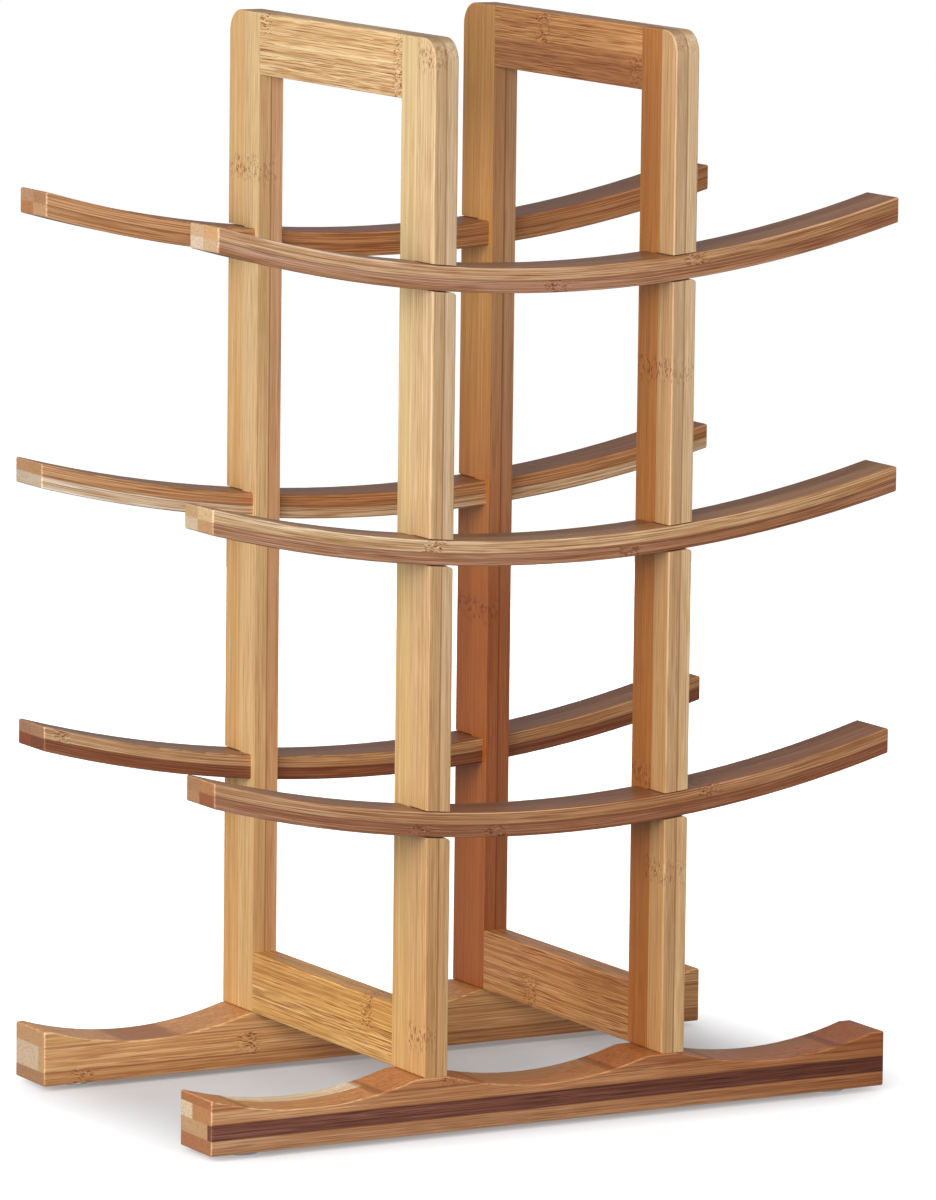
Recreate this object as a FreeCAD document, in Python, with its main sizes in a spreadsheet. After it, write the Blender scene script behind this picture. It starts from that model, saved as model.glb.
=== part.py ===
import FreeCAD, Part

import os
import re

from FreeCAD import Placement, Rotation, Vector

# A free-standing bamboo rack for twelve bottles, four levels of three.
# Two upright frames stand on two feet. Three curved slats at the front and three at the rear
# plug into the posts with half-lap joints, and the bottles lie across each pair.
# X runs along the slats and feet, Y from front to rear, Z up. The origin is on the floor,
# at the middle of the rack.

# Driving dimensions in mm. Slat heights are those of the lowest point of the top surface,
# above the posts' lower ends.
DIMENSIONS = {
    "pad_diameter": 15,
    "pad_thickness": 2,
    "pad_rim_radius": 1.2,
    "pad_spacing_across": 263,
    "pad_spacing_deep": 144,
    "foot_length": 301,
    "foot_depth": 25.5,
    "foot_height": 22,
    "feet_overall_depth": 168.6,
    "scallop_radius": 150,
    "scallop_depth": 6.8,
    "scallop_spacing": 103,
    "front_scallop_shift": -3,
    "ridge_radius": 12,
    "post_width": 10.5,
    "post_depth": 26,
    "post_height": 400,
    "frames_overall_width": 116.4,
    "frame_depth": 168,
    "frame_corner_radius": 9,
    "rail_height": 24.5,
    "edge_radius": 0.8,
    "slat_depth": 23,
    "slat_thickness": 9.7,
    "slat_edge_radius": 0.8,
    "lower_slat_height": 100.9,
    "middle_slat_height": 206.3,
    "upper_slat_height": 311.2,
    "lower_slat_radius": 541,
    "middle_slat_radius": 583,
    "upper_slat_radius": 537,
    "lower_slat_length": 300,
    "middle_slat_length": 303,
    "upper_slat_length": 300,
    "notch_depth": 14,
    "notch_play": 0.35,
    "notch_corner_radius": 2,
    "dowel_diameter": 6,
    "dowel_length": 30,
    "dowel_spacing": 12,
    "screw_diameter": 3.5,
    "screw_length": 40,
    "screw_head_diameter": 7.4,
    "screw_head_height": 2.6,
    "screw_head_sink": 0.6,
    "screw_hole_play": 0.25,
}
LEVELS = ("lower", "middle", "upper")
SIDES = {"left": -1, "right": 1}
ENDS = {"front": -1, "rear": 1}
ON_SHEET = {alias: f"Dimensions.{alias}" for alias in DIMENSIONS}
ALONG_Y = Rotation(Vector(1, 0, 0), -90)

doc = FreeCAD.newDocument("WineRack")
sheet = doc.addObject("Spreadsheet::Sheet", "Dimensions")
for row, (alias, value) in enumerate(DIMENSIONS.items(), start=1):
    sheet.set(f"A{row}", alias)
    sheet.set(f"B{row}", str(value))
    sheet.setAlias(f"B{row}", alias)
doc.recompute()
subparts = []


# Helpers: expressions on the sheet, primitives, booleans and fillets


def on_sheet(text):
    """Writes Dimensions. in front of each dimension's name in an expression."""
    return re.sub("[a-z_]+", lambda word: ON_SHEET.get(word[0], word[0]), text)


def bind(thing, **sizes):
    """Drives an object's properties by expressions of the dimensions' names."""
    for name, text in sizes.items():
        thing.setExpression(name, on_sheet(text))


def place(thing, x="0", y="0", z="0", rotation=Rotation()):
    """Puts an object at a place given as three expressions."""
    thing.Placement = Placement(Vector(), rotation)
    for axis, text in (("x", x), ("y", y), ("z", z)):
        thing.setExpression(f"Placement.Base.{axis}", on_sheet(text))
    return thing


def box(name, length, width, height, x, y, z):
    """A box of the given extents along X, Y and Z, with its lowest corner at x, y, z."""
    made = doc.addObject("Part::Box", name)
    bind(made, Length=length, Width=width, Height=height)
    return place(made, x, y, z)


def cylinder(name, radius, height, x, y, z, rotation=Rotation()):
    """A cylinder that starts at x, y, z and runs along Z, or along the turned Z."""
    made = doc.addObject("Part::Cylinder", name)
    bind(made, Radius=radius, Height=height)
    return place(made, x, y, z, rotation)


def cone(name, bottom, top, height, x, y, z):
    """An upright cone from its bottom radius to its top radius."""
    made = doc.addObject("Part::Cone", name)
    bind(made, Radius1=bottom, Radius2=top, Height=height)
    return place(made, x, y, z)


def join(name, pieces):
    """One tool shape out of several that may touch or overlap."""
    made = doc.addObject("Part::MultiFuse", name)
    made.Shapes = pieces
    return made


def cut(name, base, tool):
    """The base without the tool."""
    made = doc.addObject("Part::Cut", name)
    made.Base = base
    made.Tool = tool
    return made


def fillet(name, base, radius, wanted):
    """Rounds the edges of base that wanted() picks, with a radius named on the sheet."""
    doc.recompute()
    value = float(sheet.get(radius))
    picked = [i for i, edge in enumerate(base.Shape.Edges, start=1) if wanted(edge)]
    made = doc.addObject("Part::Fillet", name)
    made.Base = base
    made.Edges = [(i, value, value) for i in picked]
    return made


def finish(thing, label):
    """Names a finished sub-part and keeps it for the export."""
    thing.Label = label
    subparts.append(thing)


def lies_on(edge, axis, value, tolerance=0.01):
    """Whether all of an edge lies at one value of x, y or z."""
    low = getattr(edge.BoundBox, f"{axis}Min")
    high = getattr(edge.BoundBox, f"{axis}Max")
    return abs(low - value) < tolerance and abs(high - value) < tolerance


def runs_along(edge, axis):
    """Whether a straight edge is parallel to X, Y or Z."""
    extents = {"X": edge.BoundBox.XLength, "Y": edge.BoundBox.YLength, "Z": edge.BoundBox.ZLength}
    return all(extent < 0.01 for name, extent in extents.items() if name != axis)


# Heights and places that several sub-parts share

POST_FOOT = "pad_thickness + foot_height"
POST_TOP = f"{POST_FOOT} + post_height"


def toward(direction, text):
    """An expression with the sign of a side or an end."""
    return f"( {direction} ) * ( {text} )"


def low_corner(direction, outer, depth):
    """The lower bound of a bar of that depth whose outer face is at outer, on one side."""
    return f"-( {outer} )" if direction < 0 else f"{outer} - {depth}"


def curved_bar(name, level, play, length, depth, x, y):
    """A bar bent to a level's slat arc, as thick as the slat plus play on either face."""
    centre = f"{POST_FOOT} + {level}_slat_height + {level}_slat_radius"
    under = cylinder(f"{name}_under", f"{level}_slat_radius + slat_thickness + {play}", depth,
                     "0", y, centre, ALONG_Y)
    over = cylinder(f"{name}_over", f"{level}_slat_radius - {play}", depth, "0", y, centre, ALONG_Y)
    ring = cut(f"{name}_ring", under, over)
    span = box(f"{name}_span", length, depth, "post_height / 4", x, y,
               f"{POST_FOOT} + {level}_slat_height - 2 * slat_thickness")
    made = doc.addObject("Part::Common", name)
    made.Base = ring
    made.Tool = span
    return made


# Bumper pads: clear silicone discs with a rounded rim, stuck under the feet near their ends


def make_pad(end, side):
    name = f"{end}_{side}_pad"
    disc = cylinder(f"{name}_disc", "pad_diameter / 2", "pad_thickness",
                    toward(SIDES[side], "pad_spacing_across / 2"),
                    toward(ENDS[end], "pad_spacing_deep / 2"), "0")
    rounded = fillet(name, disc, "pad_rim_radius",
                     lambda edge: lies_on(edge, "Z", 0) and edge.BoundBox.XLength > 1)
    finish(rounded, name)


# Feet: two long bars with three shallow scallops on top, one for each bottle of the lowest level


def screw_y(end):
    """The depth at which an end's screws stand: the middle of its posts."""
    return toward(ENDS[end], "frame_depth / 2 - post_depth / 2")


def screw_x(side):
    """Where a side's screws stand: the middle of its frame."""
    return toward(SIDES[side], "frames_overall_width / 2 - post_width / 2")


def make_foot(end):
    name = f"{end}_foot"
    y = low_corner(ENDS[end], "feet_overall_depth / 2", "foot_depth")
    bar = box(f"{name}_bar", "foot_length", "foot_depth", "foot_height",
              "-foot_length / 2", y, "pad_thickness")
    shift = "front_scallop_shift" if end == "front" else "0"
    scallops = []
    for place_across in (-1, 0, 1):
        scallops.append(cylinder(
            f"{name}_scallop", "scallop_radius", "foot_depth",
            f"{place_across} * scallop_spacing + {shift}", y,
            f"{POST_FOOT} - scallop_depth + scallop_radius", ALONG_Y))
    shaped = cut(f"{name}_scalloped", bar, join(f"{name}_scallops", scallops))
    doc.recompute()
    bounds = bar.Shape.BoundBox
    ridges = fillet(f"{name}_ridges", shaped, "ridge_radius",
                    lambda edge: runs_along(edge, "Y") and lies_on(edge, "Z", bounds.ZMax)
                    and abs(edge.BoundBox.XMin) < bounds.XMax / 2)
    rounded = fillet(f"{name}_rounded", ridges, "edge_radius",
                     lambda edge: not runs_along(edge, "Y") or lies_on(edge, "X", bounds.XMin)
                     or lies_on(edge, "X", bounds.XMax))
    holes = []
    for side in SIDES:
        holes.append(cylinder(
            f"{name}_screw_hole", "screw_diameter / 2 + screw_hole_play", "foot_height",
            screw_x(side), screw_y(end), "pad_thickness"))
        holes.append(cone(
            f"{name}_countersink", "screw_head_diameter / 2 + screw_hole_play",
            "screw_diameter / 2 + screw_hole_play", "screw_head_height",
            screw_x(side), screw_y(end), "pad_thickness + screw_head_sink"))
        holes.append(cylinder(
            f"{name}_counterbore", "screw_head_diameter / 2 + screw_hole_play",
            "screw_head_sink", screw_x(side), screw_y(end), "pad_thickness"))
    finish(cut(name, rounded, join(f"{name}_holes", holes)), name)


# Screws: one from below each foot into the lower end of each post


def make_screws(end):
    name = f"{end}_foot_screws"
    z = "pad_thickness + screw_head_sink"
    screws = []
    for side in SIDES:
        head = cone(f"{name}_head", "screw_head_diameter / 2", "screw_diameter / 2",
                    "screw_head_height", screw_x(side), screw_y(end), z)
        shank = cylinder(f"{name}_shank", "screw_diameter / 2", "screw_length - screw_diameter",
                         screw_x(side), screw_y(end), z)
        tip = cone(f"{name}_tip", "screw_diameter / 2", "screw_diameter / 12", "screw_diameter",
                   screw_x(side), screw_y(end), f"{z} + screw_length - screw_diameter")
        drive = box(f"{name}_drive", "screw_head_diameter / 2", "screw_diameter / 4",
                    "screw_head_height / 2", f"{screw_x(side)} - screw_head_diameter / 4",
                    f"{screw_y(end)} - screw_diameter / 8", z)
        cross = box(f"{name}_cross", "screw_diameter / 4", "screw_head_diameter / 2",
                    "screw_head_height / 2", f"{screw_x(side)} - screw_diameter / 8",
                    f"{screw_y(end)} - screw_head_diameter / 4", z)
        solid = join(f"{name}_solid", [head, shank, tip])
        screws.append(cut(f"{name}_{side}", solid, join(f"{name}_recess", [drive, cross])))
    group = doc.addObject("Part::Compound", name)
    group.Links = screws
    finish(group, name)


# Posts: four uprights, notched on their outer faces for the slats


def dowel_heights(rail):
    """Heights of the two dowels in each end of a top or bottom rail."""
    if rail == "top":
        middle = f"{POST_TOP} - rail_height / 2"
    else:
        middle = f"{POST_FOOT} + rail_height / 2"
    return [f"{middle} + {sign} * dowel_spacing / 2" for sign in (-1, 1)]


def eased_corner(name, level, x, y):
    """What a rounded corner takes off a notch's lower lip, to the right of x."""
    under = f"( {level}_slat_radius + slat_thickness + notch_play )"
    lip = f"{POST_FOOT} + {level}_slat_height + {level}_slat_radius - sqrt( {under} ^ 2 - ( {x} ) ^ 2 )"
    block = box(f"{name}_block", "notch_corner_radius", "notch_depth", "2 * notch_corner_radius",
                x, y, f"{lip} - notch_corner_radius")
    kept = cylinder(f"{name}_kept", "notch_corner_radius", "notch_depth",
                    x, y, f"{lip} - notch_corner_radius", ALONG_Y)
    return cut(name, block, kept)


def make_post(side, end):
    name = f"{side}_{end}_post"
    x = low_corner(SIDES[side], "frames_overall_width / 2", "post_width")
    y = low_corner(ENDS[end], "frame_depth / 2", "post_depth")
    bar = box(f"{name}_bar", "post_width", "post_depth", "post_height", x, y, POST_FOOT)
    doc.recompute()
    bounds = bar.Shape.BoundBox
    outer = bounds.YMin if end == "front" else bounds.YMax
    inner = bounds.YMax if end == "front" else bounds.YMin
    cornered = fillet(f"{name}_cornered", bar, "frame_corner_radius",
                      lambda edge: lies_on(edge, "Y", outer) and lies_on(edge, "Z", bounds.ZMax))
    # The faces that meet the rails keep sharp edges
    rounded = fillet(f"{name}_rounded", cornered, "edge_radius",
                     lambda edge: not runs_along(edge, "X") and not lies_on(edge, "Y", inner))
    notch_y = y if end == "front" else "frame_depth / 2 - notch_depth"
    notches = [curved_bar(f"{name}_{level}_notch", level, "notch_play", "3 * post_width",
                          "notch_depth", f"{x} - post_width", notch_y) for level in LEVELS]
    notched = cut(f"{name}_notched", rounded, join(f"{name}_notches", notches))
    # Below each notch the right-hand corner is eased, so that the slat slides in
    corner_x = f"{x} + post_width - notch_corner_radius"
    corners = [eased_corner(f"{name}_{level}_corner", level, corner_x, notch_y)
               for level in LEVELS]
    eased = cut(f"{name}_eased", notched, join(f"{name}_corners", corners))
    holes = []
    dowel_y = "frame_depth / 2 - post_depth"
    for rail in ("top", "bottom"):
        for z in dowel_heights(rail):
            start = f"-( {dowel_y} + dowel_length / 2 )" if end == "front" else dowel_y
            holes.append(cylinder(f"{name}_dowel_hole", "dowel_diameter / 2", "dowel_length / 2",
                                  screw_x(side), start, z, ALONG_Y))
    pilot = "screw_length + screw_head_sink - foot_height"
    holes.append(cylinder(f"{name}_pilot", "screw_diameter / 2", pilot,
                          screw_x(side), screw_y(end), POST_FOOT))
    finish(cut(name, eased, join(f"{name}_holes", holes)), name)


# Rails: boards that join each front post to its rear post, at the top and at the bottom


def make_rail(side, rail):
    name = f"{side}_{rail}_rail"
    x = low_corner(SIDES[side], "frames_overall_width / 2", "post_width")
    z = f"{POST_TOP} - rail_height" if rail == "top" else POST_FOOT
    board = box(f"{name}_board", "post_width", "frame_depth - 2 * post_depth", "rail_height",
                x, "-( frame_depth / 2 - post_depth )", z)
    rounded = fillet(f"{name}_rounded", board, "edge_radius", lambda edge: runs_along(edge, "Y"))
    holes = []
    for height in dowel_heights(rail):
        for start in ("-( frame_depth / 2 - post_depth )",
                      "frame_depth / 2 - post_depth - dowel_length / 2"):
            holes.append(cylinder(f"{name}_dowel_hole", "dowel_diameter / 2", "dowel_length / 2",
                                  screw_x(side), start, height, ALONG_Y))
    finish(cut(name, rounded, join(f"{name}_holes", holes)), name)


def make_dowels(side, rail):
    """The four glued dowels that hold one rail, half in the rail and half in the posts."""
    name = f"{side}_{rail}_rail_dowels"
    dowels = []
    for height in dowel_heights(rail):
        for start in ("-( frame_depth / 2 - post_depth ) - dowel_length / 2",
                      "frame_depth / 2 - post_depth - dowel_length / 2"):
            dowels.append(cylinder(f"{name}_dowel", "dowel_diameter / 2", "dowel_length",
                                   screw_x(side), start, height, ALONG_Y))
    group = doc.addObject("Part::Compound", name)
    group.Links = dowels
    finish(group, name)


# Slats: bent laminated bars, notched on their inner faces to lap over the posts


def make_slat(end, level):
    name = f"{end}_{level}_slat"
    y = low_corner(ENDS[end], "frame_depth / 2", "slat_depth")
    bar = curved_bar(f"{name}_bar", level, "0", f"{level}_slat_length", "slat_depth",
                     f"-{level}_slat_length / 2", y)
    rounded = fillet(f"{name}_rounded", bar, "slat_edge_radius", lambda edge: True)
    inner = "-( frame_depth / 2 - notch_depth )" if end == "front" else y
    laps = [box(f"{name}_{side}_lap", "post_width", "slat_depth - notch_depth", "post_height / 4",
                low_corner(SIDES[side], "frames_overall_width / 2", "post_width"), inner,
                f"{POST_FOOT} + {level}_slat_height - 2 * slat_thickness") for side in SIDES]
    finish(cut(name, rounded, join(f"{name}_laps", laps)), name)


for end in ENDS:
    make_foot(end)
    make_screws(end)
    for side in SIDES:
        make_pad(end, side)
    for level in LEVELS:
        make_slat(end, level)
for side in SIDES:
    for end in ENDS:
        make_post(side, end)
    for rail in ("top", "bottom"):
        make_rail(side, rail)
        make_dowels(side, rail)
doc.recompute()

failed = [thing.Label for thing in doc.Objects if {"Invalid", "Error"} & set(thing.State)]
failed += [part.Label for part in subparts if part.Shape.isNull() or not part.Shape.isValid()]
if failed:
    raise SystemExit(f"these objects failed: {failed}")

os.makedirs("parts", exist_ok=True)
for part in subparts:
    part.Shape.exportStep(f"parts/{part.Label}.step")
    extents = part.Shape.BoundBox
    print(f"{part.Label}: {len(part.Shape.Solids)} solid, {part.Shape.Volume / 1000:.2f} cm3, "
          f"{extents.XLength:.1f} x {extents.YLength:.1f} x {extents.ZLength:.1f} mm")
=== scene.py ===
import math
from collections import namedtuple

import bpy
from mathutils import Matrix, Vector

# A bamboo wine rack: every CAD node is shown as it is, and each bar gets a procedural bamboo of
# its own. A bar is glued up of layers and strips, so its material is a small grid of strips with
# their own tone and fibres. Lengths inside the materials are in mm, the scene's in metres.

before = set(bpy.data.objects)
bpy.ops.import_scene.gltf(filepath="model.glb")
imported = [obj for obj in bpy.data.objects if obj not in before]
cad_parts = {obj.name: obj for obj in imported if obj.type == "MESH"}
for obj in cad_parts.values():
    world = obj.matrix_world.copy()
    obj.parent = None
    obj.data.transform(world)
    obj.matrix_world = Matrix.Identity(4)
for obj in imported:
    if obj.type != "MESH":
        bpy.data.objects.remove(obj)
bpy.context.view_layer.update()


def linear(colour):
    """A colour given as it looks on a screen, 0 to 255, as linear light."""
    parts = [part / 255 for part in colour]
    return [p / 12.92 if p <= 0.04045 else ((p + 0.055) / 1.055) ** 2.4 for p in parts]


# Node building


class Tree:
    """Builds a material's nodes: each method adds one node or a few and returns their output."""

    def __init__(self, name):
        self.material = bpy.data.materials.new(name)
        self.material.use_nodes = True
        self.nodes = self.material.node_tree.nodes
        self.links = self.material.node_tree.links
        self.nodes.clear()

    def add(self, kind, values=(), **settings):
        """A node, with settings on itself and values or links on its inputs."""
        node = self.nodes.new(kind)
        for key, value in settings.items():
            setattr(node, key, value)
        for key, value in dict(values).items():
            if isinstance(value, bpy.types.NodeSocket):
                self.links.new(value, node.inputs[key])
            else:
                node.inputs[key].default_value = value
        return node

    def math(self, operation, *values):
        return self.add("ShaderNodeMath", enumerate(values), operation=operation).outputs[0]

    def plus(self, a, b):
        return self.math("ADD", a, b)

    def minus(self, a, b):
        return self.math("SUBTRACT", a, b)

    def times(self, a, b):
        return self.math("MULTIPLY", a, b)

    def ramp(self, value, low, high, to_low=0.0, to_high=1.0, smooth=True):
        """value carried from low..high to to_low..to_high, held at both ends."""
        kind = "SMOOTHSTEP" if smooth else "LINEAR"
        return self.add("ShaderNodeMapRange", {0: value, 1: low, 2: high, 3: to_low, 4: to_high},
                        interpolation_type=kind, clamp=True).outputs[0]

    def vector(self, x, y, z):
        return self.add("ShaderNodeCombineXYZ", {0: x, 1: y, 2: z}).outputs[0]

    def split(self, vector):
        return self.add("ShaderNodeSeparateXYZ", {0: vector}).outputs[:]

    def across(self, operation, a, b):
        """One operation on all three parts of a vector."""
        key = 3 if operation == "SCALE" else 1
        return self.add("ShaderNodeVectorMath", {0: a, key: b}, operation=operation).outputs[0]

    def object_place(self):
        """The place on the object in mm."""
        metres = self.add("ShaderNodeTexCoord").outputs["Object"]
        return self.across("SCALE", metres, 1000.0)

    def scaled_down(self, vector, sizes):
        """A place in mm, in units of sizes."""
        return self.across("MULTIPLY", vector, [1 / size for size in sizes])

    def noise(self, vector, sizes, detail=2.0, roughness=0.5, colour=False):
        """Noise whose features are about as large as sizes, in mm."""
        node = self.add("ShaderNodeTexNoise", {"Vector": self.scaled_down(vector, sizes), "Scale": 1.0,
                                               "Detail": detail, "Roughness": roughness})
        return node.outputs["Color" if colour else "Fac"]

    def dashes(self, vector, sizes, share):
        """1 on straight dashes about as large as sizes, in mm. share: how many of the places for a
        dash have one."""
        cells = self.add("ShaderNodeTexVoronoi", {"Vector": self.scaled_down(vector, sizes),
                                                  "Scale": 1.0})
        lot = self.split(cells.outputs["Color"])[0]
        chosen = self.ramp(lot, 1 - share - 0.1, 1 - share + 0.1)
        return self.times(self.ramp(cells.outputs["Distance"], 0.3, 0.55, 1.0, 0.0), chosen)

    def mix(self, share, a, b, blend="MIX"):
        node = self.add("ShaderNodeMix", data_type="RGBA", blend_type=blend, clamp_factor=True)
        for index, value in ((0, share), (6, a), (7, b)):
            if isinstance(value, bpy.types.NodeSocket):
                self.links.new(value, node.inputs[index])
            else:
                node.inputs[index].default_value = (*value, 1.0) if index else value
        return node.outputs[2]

    def tinted(self, colour, tint):
        """A colour multiplied by a tint."""
        return self.mix(1.0, colour, tint, "MULTIPLY")

    def mark(self, colour, share, tint):
        """A colour multiplied by a tint, as far as share says."""
        return self.mix(share, colour, self.tinted(colour, tint))

    def pick(self, steps, values):
        """The value of the band that a place is in, where steps tell that it is past each limit."""
        chosen = values[0]
        for step, value in zip(steps, values[1:]):
            chosen = self.mix(step, chosen, value)
        return chosen

    def surface(self, values):
        shader = self.add("ShaderNodeBsdfPrincipled", values)
        output = self.add("ShaderNodeOutputMaterial")
        self.links.new(shader.outputs[0], output.inputs[0])
        return self.material


# Bamboo. Each bar has its own terms: through its layers, across their strips, along the grain.
# A window is (across from, across to, through from, through to), in mm. Sizes of marks are in mm,
# through, across and along. A tint multiplies the tone that a mark is on.

ALL = (-900, 900)
# Slow changes of tone, long fine lines, and patches with more dashes and streaks
SLOW_SIZES, SLOW_DARK, SLOW_LIGHT = (2, 2, 130), (0.93, 0.88, 0.82), (1.05, 1.09, 1.13)
LINE_SIZES, LINE_DARK, LINE_LIGHT = (0.5, 0.5, 110), (0.68, 0.53, 0.36), (1.17, 1.27, 1.42)
PATCH_SIZES = (9, 9, 40)
# Dark dashes and pale streaks, where the flat of the cane shows
DASH_SIZES, DASH_SHARE, DASH_DARK = (0.36, 0.36, 18), 0.6, (0.43, 0.25, 0.08)
STREAK_SIZES, STREAK_LIGHT = (0.3, 0.3, 20), (1.2, 1.34, 1.5)
# Knuckles: half the length of their middle and of the whole, how far they wander along the bar,
# how far they pull the fibres, and their dark curls
KNUCKLE_MIDDLE, KNUCKLE_REACH, KNUCKLE_WANDER = 2.5, 6.5, 6.0
KNUCKLE_PULL = (2.5, 2.5, 6.0)
CURL_SIZES, CURL_SHARE, CURL_DARK = (0.8, 0.8, 2.6), 0.55, (0.46, 0.29, 0.18)
# Seams: how far they wander across the bar, and the part of that through it
SEAM_WANDER, THROUGH_PART = 1.6, 0.3
GLUE_SHARE, GLUE_DARK = 0.75, (0.55, 0.42, 0.34)
# End grain: pores to a mm, and its tints
PORES_PER_MM, PORE_DARK, SAWN_DARK = 1.3, (0.55, 0.46, 0.36), (0.77, 0.76, 0.74)
# Tint of the eased edges: pale sanded wood with a painted highlight
PALE_EDGE = (1.16, 1.2, 1.25)
# Each strip and bar takes its marks from its own part of the noise: STRIPS strips take up
# STRIPS_SHIFT mm of it, and bars lie BAR_SHIFT mm apart
STRIPS, STRIPS_SHIFT, BAR_SHIFT = 20, 5000.0, 97.0

# Layer: its strips, and where it ends through the bar
# Strip: its tone, shares of dashes and lines, where it ends across the bar, and the tone of
# its end grain if that differs. The last layer and the last strip have no end.
Layer = namedtuple("Layer", "strips end", defaults=(None,))
Strip = namedtuple("Strip", "tone dashes lines end sawn", defaults=(None, None))


class Bar:
    """The bamboo of one bar: its material's nodes, and places in the bar's own terms."""

    def __init__(self, name, layers, grain, seed, arc, knuckles):
        self.tree = tree = Tree(name)
        self.grain = grain
        self.through, self.across, self.along = self.own_terms(arc)
        self.place = tree.vector(self.through, self.across, self.along)
        # Seams between strips and layers wander a little along the bar
        wander = tree.noise(self.place, (400, 400, 70), detail=1.0)
        shake = tree.times(tree.minus(wander, 0.5), SEAM_WANDER)
        self.seam_through = tree.plus(self.through, tree.times(shake, THROUGH_PART))
        self.seam_across = tree.plus(self.across, shake)
        self.seam_limits = [layer.end for layer in layers[:-1]]
        self.tone, self.sawn_tone, traits = self.lay_up(layers)
        self.dashes, self.lines, self.strip_share = tree.split(traits)
        self.knuckle = self.knuckle_share(knuckles)
        self.fibre_place = self.curled(self.shifted(seed))
        self.slow = tree.noise(self.fibre_place, SLOW_SIZES, detail=3.0)
        self.streaks = tree.noise(self.fibre_place, STREAK_SIZES, detail=1.0)

    def own_terms(self, arc):
        """The place through, across and along the bar. arc: height of the middle of a bent bar's
        curve, and its radius."""
        tree = self.tree
        x, y, z = tree.split(tree.object_place())
        if arc is not None:
            centre, radius = arc
            drop = tree.minus(centre, z)
            reach = tree.math("SQRT", tree.plus(tree.times(x, x), tree.times(drop, drop)))
            angle = tree.math("ARCTAN2", x, drop)
            return tree.minus(reach, radius), y, tree.times(angle, radius)
        return {"X": (z, y, x), "Y": (x, z, y), "Z": (x, y, z)}[self.grain]

    def past(self, value, limit, soft=0.12):
        """0 before a limit, 1 past it."""
        return self.tree.ramp(value, limit - soft, limit + soft, smooth=False)

    def inside(self, across_low, across_high, through_low, through_high):
        """1 inside a window, 0 outside it."""
        tree = self.tree
        edges = [self.past(self.across, across_low, 0.4),
                 tree.minus(1.0, self.past(self.across, across_high, 0.4)),
                 self.past(self.through, through_low, 0.2),
                 tree.minus(1.0, self.past(self.through, through_high, 0.2))]
        return tree.times(tree.times(*edges[:2]), tree.times(*edges[2:]))

    def lay_up(self, layers):
        """What each place takes from its strip: the tone, the end grain's tone, and a vector of the
        shares of dashes and lines and the strip's number as a share of STRIPS."""
        tree = self.tree
        tones, sawn_tones, traits, number = [], [], [], 0
        for layer in layers:
            steps = [self.past(self.seam_across, strip.end) for strip in layer.strips[:-1]]
            marks = []
            for strip in layer.strips:
                number += 1
                marks.append((strip.dashes, strip.lines, number / STRIPS))
            tones.append(tree.pick(steps, [linear(strip.tone) for strip in layer.strips]))
            sawn_tones.append(tree.pick(steps, [linear(strip.sawn or strip.tone)
                                                for strip in layer.strips]))
            traits.append(tree.pick(steps, marks))
        steps = [self.past(self.seam_through, limit) for limit in self.seam_limits]
        return [tree.pick(steps, values) for values in (tones, sawn_tones, traits)]

    def knuckle_share(self, knuckles):
        """How far a place is in a knuckle, a short band where the fibres curl. None without one."""
        tree = self.tree
        share = None
        for along, *window in knuckles:
            waver = tree.times(tree.minus(tree.noise(self.place, (3, 3, 30)), 0.5), KNUCKLE_WANDER)
            off = tree.math("ABSOLUTE", tree.minus(tree.plus(self.along, waver), along))
            band = tree.ramp(off, KNUCKLE_MIDDLE, KNUCKLE_REACH, 1.0, 0.0)
            band = tree.times(band, self.inside(*window))
            share = band if share is None else tree.math("MAXIMUM", share, band)
        return share

    def shifted(self, seed):
        """The place in the noise: strips and bars take theirs from different parts of it."""
        tree = self.tree
        shift = tree.times(self.strip_share, STRIPS_SHIFT)
        return tree.across("ADD", self.place,
                           tree.vector(shift, tree.plus(shift, seed * BAR_SHIFT), shift))

    def curled(self, place):
        """A place in the noise, pulled about in the knuckles."""
        if self.knuckle is None:
            return place
        tree = self.tree
        curl = tree.across("SUBTRACT", tree.noise(place, (3, 3, 3), colour=True), (0.5, 0.5, 0.5))
        pull = tree.across("MULTIPLY", curl, KNUCKLE_PULL)
        return tree.across("ADD", place, tree.across("SCALE", pull, self.knuckle))

    def lined(self, depth):
        """The strips' tones with their slow changes and their fine lines."""
        tree = self.tree
        dark, light = [[1 - (1 - part) * depth for part in tint] for tint in (SLOW_DARK, SLOW_LIGHT)]
        colour = tree.mix(tree.ramp(self.slow, 0.35, 0.65), tree.tinted(self.tone, dark),
                          tree.tinted(self.tone, light))
        lines = tree.noise(self.fibre_place, LINE_SIZES, detail=3.0, roughness=0.65)
        colour = tree.mark(colour, tree.times(tree.ramp(lines, 0.49, 0.58), self.lines), LINE_DARK)
        return tree.mark(colour, tree.times(tree.ramp(lines, 0.48, 0.4), self.lines), LINE_LIGHT)

    def streaked(self, colour):
        """Adds dark dashes and pale streaks, and the curls in the knuckles."""
        tree = self.tree
        patches = tree.noise(self.fibre_place, PATCH_SIZES, detail=1.0)
        share = tree.times(self.dashes, tree.ramp(patches, 0.38, 0.58, 0.6, 1.0))
        dashes = tree.dashes(self.fibre_place, DASH_SIZES, DASH_SHARE)
        colour = tree.mark(colour, tree.times(dashes, share), DASH_DARK)
        pale = tree.ramp(self.streaks, 0.49, 0.41)
        colour = tree.mark(colour, tree.times(pale, share), STREAK_LIGHT)
        if self.knuckle is not None:
            curls = tree.dashes(self.fibre_place, CURL_SIZES, CURL_SHARE)
            colour = tree.mark(colour, tree.times(curls, self.knuckle), CURL_DARK)
        return colour

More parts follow.
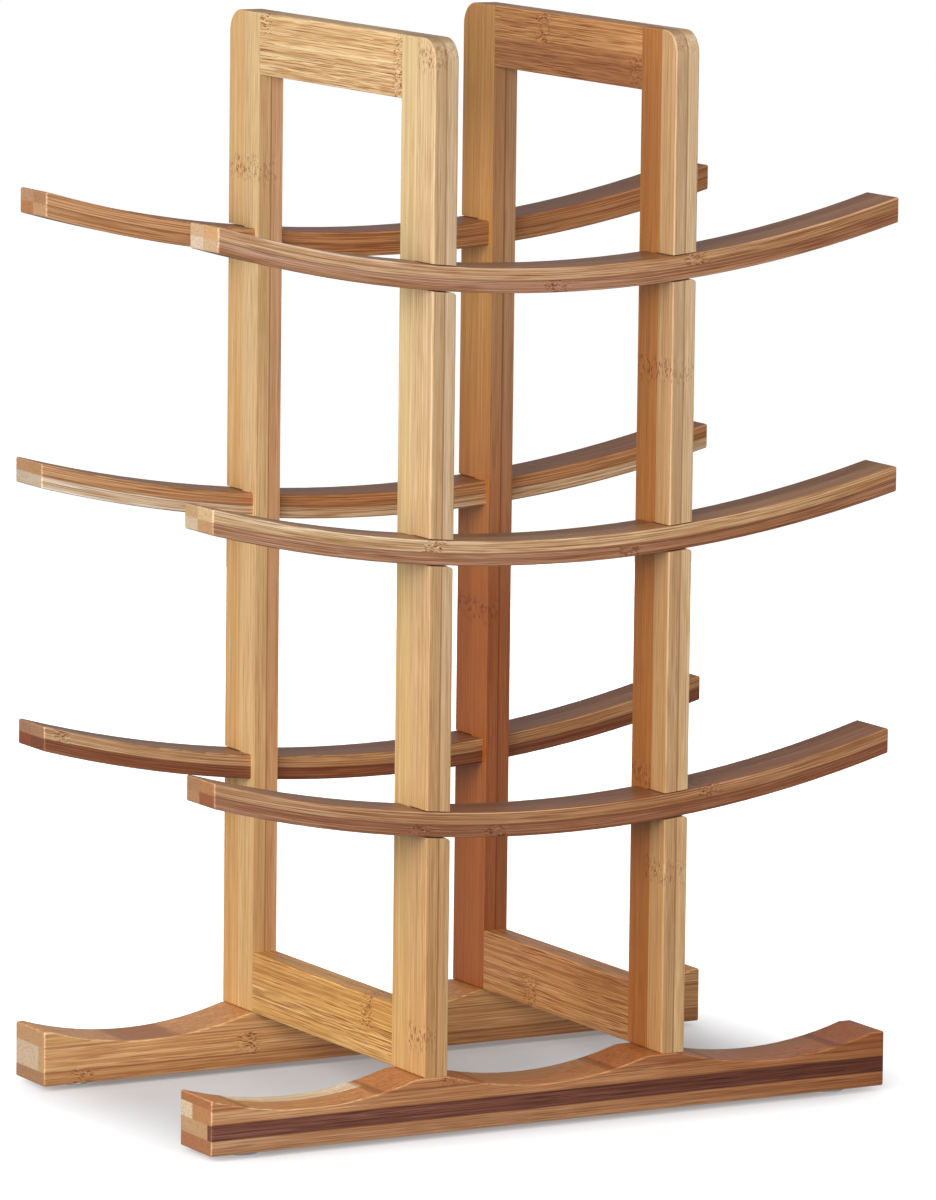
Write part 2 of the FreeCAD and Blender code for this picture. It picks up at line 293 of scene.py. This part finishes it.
    def glued(self, colour):
        """Adds the dark glue line between layers."""
        tree = self.tree
        for limit in self.seam_limits:
            off = tree.math("ABSOLUTE", tree.minus(self.seam_through, limit))
            glue = tree.ramp(off, 0.2, 0.5, 1.0, 0.0)
            colour = tree.mark(colour, tree.times(glue, GLUE_SHARE), GLUE_DARK)
        return colour

    def stained(self, colour, stains):
        """Adds tinted patches, some of them painted shade: (along from, along to, *window, tint)."""
        tree = self.tree
        for low, high, *window, tint in stains:
            share = tree.times(self.past(self.along, low, 4),
                               self.past(tree.times(self.along, -1), -high, 4))
            colour = tree.mark(colour, tree.times(share, self.inside(*window)), tint)
        return colour

    def faced(self, colour, wide, edge):
        """Paints light and shade on the flat faces and a highlight on the pale eased edges, and gives
        end grain a look of its own.
        """
        tree = self.tree
        normal = tree.add("ShaderNodeNewGeometry").outputs["Normal"]
        facing = [tree.math("ABSOLUTE", part) for part in tree.split(normal)]
        along, flat, side = {"X": (0, 2, 1), "Y": (1, 0, 0), "Z": (2, 0, 0)}[self.grain]
        # Painted light and shade: the flat faces get a tint of their own, lighter on some bars and
        # darker on others, by which way they face.
        if wide is not None:
            colour = tree.mark(colour, tree.ramp(facing[flat], 0.7, 0.9), wide)
        # The eased edges are paler: partly sanded wood, partly a painted highlight where the rounding
        # catches light.
        eased = tree.times(tree.ramp(facing[side], 0.1, 0.4), tree.ramp(facing[side], 0.99, 0.9))
        colour = tree.mark(colour, eased, edge)
        across_fibres = tree.across("MULTIPLY", self.fibre_place, (PORES_PER_MM, PORES_PER_MM, 0.0))
        pores = tree.add("ShaderNodeTexVoronoi", {"Vector": across_fibres, "Scale": 1.0})
        sawn = tree.mix(tree.ramp(pores.outputs["Distance"], 0.2, 0.45),
                        tree.tinted(self.sawn_tone, PORE_DARK),
                        tree.tinted(self.sawn_tone, SAWN_DARK))
        return tree.mix(tree.ramp(facing[along], 0.75, 0.9), colour, sawn)


def bamboo(name, layers, grain, seed, arc=None, knuckles=(), wide=None, fade=None, depth=1.0,
           edge=PALE_EDGE, stains=()):
    """Laminated bamboo. grain: the axis that the fibres follow. seed: a number of the bar's own.
    knuckles: (along, *window). wide: tint of the flat faces, painted light and shade. fade:
    ((low, high), tint at low, tint at high) along the grain, painted light and shade. depth: how
    strong the slow changes of tone are. edge: tint of the eased edges, pale sanded wood with a
    painted highlight. stains: (along from, along to, *window, tint), tinted patches, some of them
    painted shade."""
    bar = Bar(name, layers, grain, seed, arc, knuckles)
    tree = bar.tree
    colour = bar.stained(bar.glued(bar.streaked(bar.lined(depth))), stains)
    # Painted light and shade along the grain: the tint changes between two places along the bar
    if fade is not None:
        limits, low_tint, high_tint = fade
        colour = tree.mix(tree.ramp(bar.along, *limits, smooth=False),
                          tree.tinted(colour, low_tint), tree.tinted(colour, high_tint))
    colour = bar.faced(colour, wide, edge)
    relief = tree.minus(1.0, tree.times(bar.streaks, bar.dashes))
    bump = tree.add("ShaderNodeBump", {"Strength": 0.4, "Distance": 0.00006, "Height": relief})
    return tree.surface({"Base Color": colour, "Roughness": tree.ramp(bar.slow, 0.3, 0.7, 0.42, 0.5),
                         "Normal": bump.outputs[0], "IOR": 1.5, "Coat Weight": 0.2,
                         "Coat Roughness": 0.2})


def give(node, material):
    """Gives a CAD node its one material."""
    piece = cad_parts[node]
    piece.data.materials.clear()
    piece.data.materials.append(material)


def middle_x(node):
    """The middle of a CAD node across the rack, in mm."""
    across = [corner[0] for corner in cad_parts[node].bound_box]
    return 500 * (min(across) + max(across))


def post(name, seed, seam_y, tones, wide, foot_tint, knuckles, heights=(20, 330),
         head_tint=(1.0, 1.1, 1.27)):
    """An upright of two layers across X, each of two strips that meet at seam_y. Its tone changes
    from foot_tint to head_tint between two heights, as painted light: paler with a painted sheen
    towards the head, warmer and on some posts darker towards the foot. wide tints the faces toward
    the sides with painted light and shade. tones: left layer's front and rear strip, right
    layer's front and rear strip."""
    strips = [Strip(tone, 0.4, 0.3, end) for tone, end in zip(tones, (seam_y, None) * 2)]
    layers = [Layer(strips[:2], middle_x(name)), Layer(strips[2:])]
    give(name, bamboo(name, layers, "Z", seed, knuckles=knuckles, wide=wide,
                      fade=(heights, foot_tint, head_tint), edge=(1.05, 1.06, 1.07)))


post("left_front_post", 1.0, seam_y=-70.0,
     tones=[(203, 161, 113), (203, 164, 111), (214, 176, 132), (212, 172, 126)],
     wide=(1.04, 1.1, 1.11), foot_tint=(1.02, 0.91, 0.74),
     knuckles=[(416.5, -84, -70, -60, -52.95), (39, -84, -70, -60, -52.95)])
post("left_rear_post", 2.0, seam_y=71.0,
     tones=[(206, 163, 110), (200, 150, 92), (200, 149, 103), (200, 152, 106)],
     wide=(1.06, 1.11, 1.12), foot_tint=(1.1, 1.06, 0.99), knuckles=[(362, 58, 84, -60, -50)])
# The right posts' darker, more orange strips are partly their own tone and partly painted shade
post("right_front_post", 3.0, seam_y=-73.0,
     tones=[(210, 167, 120), (189, 121, 57), (233, 194, 146), (228, 188, 142)],
     wide=(0.84, 0.77, 0.64), foot_tint=(1.0, 0.96, 0.84),
     knuckles=[(292, -84, -58, 47, 60), (132.7, -73, -58, 47, 53), (96, -84, -70, 47, 60)])
post("right_rear_post", 4.0, seam_y=71.0,
     tones=[(188, 130, 75), (186, 127, 70), (186, 132, 82), (206, 162, 114)],
     wide=(1.03, 0.98, 0.64), foot_tint=(0.78, 0.51, 0.41), knuckles=[(179, 58, 84, 47, 53)],
     heights=(185, 300), head_tint=(1.02, 1.18, 1.6))


def rail(name, seed, seam_z, upper, lower, knuckles, dashes=1.0):
    """A board of two layers across X, each of an upper and a lower strip that meet at seam_z."""
    strips = [Strip(lower, dashes, 0.75, seam_z), Strip(upper, dashes, 0.75)]
    layers = [Layer(strips, middle_x(name)), Layer(strips)]
    give(name, bamboo(name, layers, "Y", seed, knuckles=knuckles))


rail("left_top_rail", 5.0, seam_z=411.5, upper=(208, 171, 120), lower=(208, 172, 124),
     knuckles=[(53, 416, 430, *ALL), (-56.5, *ALL, *ALL)])
rail("left_bottom_rail", 6.0, seam_z=36.0, upper=(203, 149, 80), lower=(209, 160, 94),
     knuckles=[(-37.5, 36, 60, *ALL)], dashes=0.9)
# The right rails' darker, more orange tones are partly their own tone and partly painted shade
rail("right_top_rail", 7.0, seam_z=411.5, upper=(196, 139, 82), lower=(174, 115, 67),
     knuckles=[(19.5, 411.5, 430, *ALL), (-53.5, 380, 411.5, *ALL)])
rail("right_bottom_rail", 8.0, seam_z=36.0, upper=(188, 130, 76), lower=(190, 134, 80),
     knuckles=[(20, 20, 36, *ALL)])

# Slats are bent along arcs, and "through" is the depth below the top face. Each level's arc:
# height of the top face's lowest point, and its radius. LAMINATION: how thick the upper one is
SLAT_ARCS = {"lower": (124.9, 541), "middle": (230.3, 583), "upper": (335.2, 537)}
SLAT_SEAM_Y = {"front": -72.0, "rear": 72.5}
# Tints along each slat: painted light, paler with a painted sheen at the left end and darker, painted
# shade, towards the right
SLAT_FADES = {"front": ((-150, 60), (1.0, 1.12, 1.28), (0.92, 0.84, 0.77)),
              "rear": ((-150, -20), (1.04, 1.18, 1.38), (0.9, 0.8, 0.68))}
LAMINATION = 4.9
UPPER, LOWER = (*ALL, -1, LAMINATION), (*ALL, LAMINATION, 11)


def slat(end, level, seed, tones, sawn, knuckles=()):
    """A bent bar of two laminations, each of two strips across Y. tones, and the sawn ends' tones:
    upper front, upper rear, lower front, lower rear."""
    name = f"{end}_{level}_slat"
    height, radius = SLAT_ARCS[level]
    ends = (SLAT_SEAM_Y[end], None) * 2
    strips = [Strip(tone, 0.7, 1.0, *rest) for tone, *rest in zip(tones, ends, sawn)]
    layers = [Layer(strips[:2], LAMINATION), Layer(strips[2:])]
    # The slats' tops and undersides are darkened as painted shade, and the tint along them is painted
    # light and shade
    give(name, bamboo(name, layers, "X", seed, (height + radius, radius), knuckles,
                      wide=(0.56, 0.45, 0.37), fade=SLAT_FADES[end], depth=1.4))


slat("front", "upper", 11.0,
     tones=[(208, 163, 121), (190, 146, 104), (186, 137, 103), (200, 160, 124)],
     sawn=[(216, 168, 118), (212, 178, 140), (212, 178, 140), (226, 204, 180)],
     knuckles=[(58, *UPPER), (-4, *LOWER)])
slat("front", "middle", 12.0,
     tones=[(219, 179, 134), (186, 142, 98), (182, 131, 96), (200, 160, 122)],
     sawn=[(220, 186, 142), (202, 164, 118), (198, 154, 108), (216, 192, 164)],
     knuckles=[(-56, *UPPER), (30, *LOWER)])
slat("front", "lower", 13.0,
     tones=[(197, 147, 104), (180, 132, 92), (167, 111, 76), (180, 130, 90)],
     sawn=[(188, 130, 82), (180, 130, 92), (160, 94, 56), (186, 138, 100)],
     knuckles=[(68, *UPPER), (-27, *LOWER), (-60, *LOWER)])
slat("rear", "upper", 14.0,
     tones=[(188, 133, 87), (186, 140, 96), (187, 135, 90), (186, 128, 76)],
     sawn=[(184, 138, 98), (196, 150, 112), (206, 160, 116), (192, 130, 78)])
slat("rear", "middle", 15.0,
     tones=[(191, 138, 91), (190, 142, 96), (213, 183, 150), (200, 160, 124)],
     sawn=[(194, 146, 98), (196, 150, 106), (214, 194, 168), (210, 190, 166)])
slat("rear", "lower", 16.0,
     tones=[(189, 144, 100), (176, 126, 84), (140, 83, 51), (146, 88, 54)],
     sawn=[(182, 136, 98), (174, 130, 96), (134, 68, 32), (150, 74, 38)],
     knuckles=[(-143, *UPPER)])


def foot(name, seed, layers, **looks):
    """A foot laid up from below, each layer from front to rear."""
    # The feet's eased edges get a stronger painted highlight on their pale sanded wood
    give(name, bamboo(name, layers, "X", seed, depth=1.3, edge=(1.2, 1.34, 1.5), **looks))


# Front foot: its flat faces are darkened as painted shade, and along it, it is paler with a painted
# sheen at the left end and darker, painted shade, at the right. The first patch darkens the pale strip
# from -62 mm to the right end; the second is painted shade over the top of the right end.
foot("front_foot", 21.0, [
    Layer([Strip((186, 129, 82), 0.6, 0.6, sawn=(188, 124, 78))], 8),
    Layer([Strip((122, 68, 47), 1.0, 1.0, -81.5),
           Strip((206, 148, 96), 0.3, 0.6, -72, (212, 166, 118)),
           Strip((206, 148, 96), 0.3, 0.6, sawn=(212, 168, 122))], 14),
    Layer([Strip((198, 138, 86), 0.6, 0.6, -69, (204, 144, 92)),
           Strip((232, 214, 186), 0.3, 0.5, sawn=(240, 214, 178))], 20),
    Layer([Strip((192, 127, 76), 0.6, 0.6, sawn=(190, 122, 72))])],
    knuckles=[(-45, *ALL, 20, 34)], wide=(0.88, 0.77, 0.61),
    fade=((-150, 150), (1.12, 1.3, 1.66), (0.86, 0.71, 0.58)),
    stains=[(-62, 900, -69, 900, 14, 20, (0.62, 0.42, 0.27)),
            (48, 900, *ALL, 14, 30, (0.87, 0.8, 0.75))])
# Rear foot: its flat faces are darkened as painted shade, and it is paler with a painted sheen towards
# the left end.
foot("rear_foot", 22.0, [
    Layer([Strip((184, 128, 78), 0.6, 0.6, sawn=(192, 144, 102))], 7.5),
    Layer([Strip((208, 155, 102), 0.6, 0.6, 64, (220, 176, 126)),
           Strip((206, 150, 98), 0.3, 0.5, sawn=(234, 206, 172))], 17.5),
    Layer([Strip((208, 158, 105), 0.6, 0.6, sawn=(216, 168, 118))])],
    knuckles=[(-59.6, *ALL, 7, 16), (-133, *ALL, -2, 8)], wide=(0.84, 0.7, 0.54),
    fade=((-150, 0), (1.12, 1.2, 1.3), (1.0, 0.98, 0.95)))


# The other materials


def dowel_wood(name):
    tree = Tree(name)
    fibres = tree.noise(tree.object_place(), (0.6, 25, 0.6), detail=3.0)
    colour = tree.mix(fibres, linear((214, 184, 140)), linear((236, 212, 172)))
    return tree.surface({"Base Color": colour, "Roughness": 0.6})


def screw_steel(name):
    tree = Tree(name)
    clouds = tree.noise(tree.object_place(), (0.8, 0.8, 0.8), detail=3.0)
    return tree.surface({"Base Color": tree.mix(clouds, (0.52, 0.52, 0.54), (0.7, 0.7, 0.72)),
                         "Metallic": 1.0, "Roughness": tree.ramp(clouds, 0.3, 0.7, 0.28, 0.42)})


def clear_silicone(name):
    tree = Tree(name)
    haze = tree.noise(tree.object_place(), (4, 4, 4))
    return tree.surface({"Base Color": tree.mix(haze, (0.88, 0.92, 0.94), (0.93, 0.96, 0.97)),
                         "Roughness": 0.15, "IOR": 1.41, "Transmission Weight": 0.45})


# What a node's name ends in, with the name and the maker of its material
OTHERS = (("dowels", "dowel_wood", dowel_wood), ("screws", "screw_steel", screw_steel),
          ("pad", "clear_silicone", clear_silicone))
for ending, slot, make in OTHERS:
    material = make(slot)
    for node in sorted(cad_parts):
        if node.endswith(ending):
            give(node, material)


# Floor, light and camera


# Half the size of the painted shadow under the rack, and how far it thins out, in metres
SHADED_X, SHADED_Y, FADE_OUT = 0.115, 0.05, 0.09


def paper(name):
    """Pale paper that glows so it reads white, and glows less in a patch under the rack and between
    its feet: a painted shadow.
    """
    tree = Tree(name)
    place = tree.add("ShaderNodeTexCoord").outputs["Object"]
    tooth = tree.add("ShaderNodeTexNoise", {"Vector": place, "Scale": 3.0}).outputs["Fac"]
    x, y, _ = tree.split(place)
    away = [tree.math("MAXIMUM", tree.minus(tree.math("ABSOLUTE", part), half), 0.0)
            for part, half in ((x, SHADED_X), (y, SHADED_Y))]
    reach = tree.math("SQRT", tree.plus(*[tree.times(part, part) for part in away]))
    return tree.surface({
        "Base Color": tree.mix(tooth, (0.565, 0.575, 0.595), (0.58, 0.59, 0.61)),
        "Roughness": 1.0, "Specular IOR Level": 0.0, "Emission Color": (1, 1, 1, 1),
        "Emission Strength": tree.ramp(reach, 0.0, FADE_OUT, 0.12, 0.84)})


# The floor lies a little under the pads
bpy.ops.mesh.primitive_plane_add(size=60, location=(0, 0, -0.0002))
floor = bpy.context.object
floor.name = "floor"
floor.data.materials.append(paper("floor_paper"))
floor.visible_diffuse = floor.visible_glossy = False

world = bpy.data.worlds.new("studio")
bpy.context.scene.world = world
world.use_nodes = True
world.node_tree.nodes["Background"].inputs[0].default_value = (1, 1, 1, 1)
world.node_tree.nodes["Background"].inputs[1].default_value = 0.3

# Where the lamps point
AIM = Vector((0, 0, 0.25))


def softbox(name, place, size, watts, colour=(1, 1, 1)):
    """A square lamp that looks at AIM."""
    light = bpy.data.lights.new(name, "AREA")
    light.size, light.energy, light.color = size, watts, colour
    lamp = bpy.data.objects.new(name, light)
    bpy.context.scene.collection.objects.link(lamp)
    lamp.location = place
    lamp.rotation_euler = (AIM - lamp.location).to_track_quat("-Z", "Y").to_euler()
    return lamp


softbox("left_softbox", (-1.0, -0.3, 0.5), 0.6, 8.6)
softbox("front_softbox", (-0.8, -1.1, 0.6), 0.6, 9.0, (1.0, 0.94, 0.89))
softbox("top_softbox", (0, 0.2, 2.2), 2.0, 8)
# Fills for the far sides, kept out of the gloss of the bars' tops
softbox("right_softbox", (1.2, 0.15, 0.3), 0.8, 5).visible_glossy = False
softbox("back_softbox", (0.5, 1.3, 0.4), 0.8, 7).visible_glossy = False

# The camera stands front left, a little above the rack, far off with a long lens. Its angles are
# in radians, its lens and sensor in mm.
CAMERA_PLACE = (-1.5231, -2.7232, 0.6603)
YAW, PITCH, ROLL = 0.5116, -0.148, 0.0118
LENS, SENSOR = 240.21, 36
camera_data = bpy.data.cameras.new("camera")
camera_data.sensor_width = SENSOR
camera_data.lens = LENS
camera_data.clip_start, camera_data.clip_end = 0.5, 100
camera = bpy.data.objects.new("camera", camera_data)
bpy.context.scene.collection.objects.link(camera)
bpy.context.scene.camera = camera
ahead = Vector((math.sin(YAW) * math.cos(PITCH), math.cos(YAW) * math.cos(PITCH), math.sin(PITCH)))
level = Vector((math.cos(YAW), -math.sin(YAW), 0))
above = level.cross(ahead)
right = level * math.cos(ROLL) + above * math.sin(ROLL)
up = above * math.cos(ROLL) - level * math.sin(ROLL)
turn = Matrix((right, up, -ahead)).transposed().to_4x4()
camera.matrix_world = Matrix.Translation(CAMERA_PLACE) @ turn

bpy.context.scene.view_settings.view_transform = "Standard"
bpy.context.scene.view_settings.look = "None"
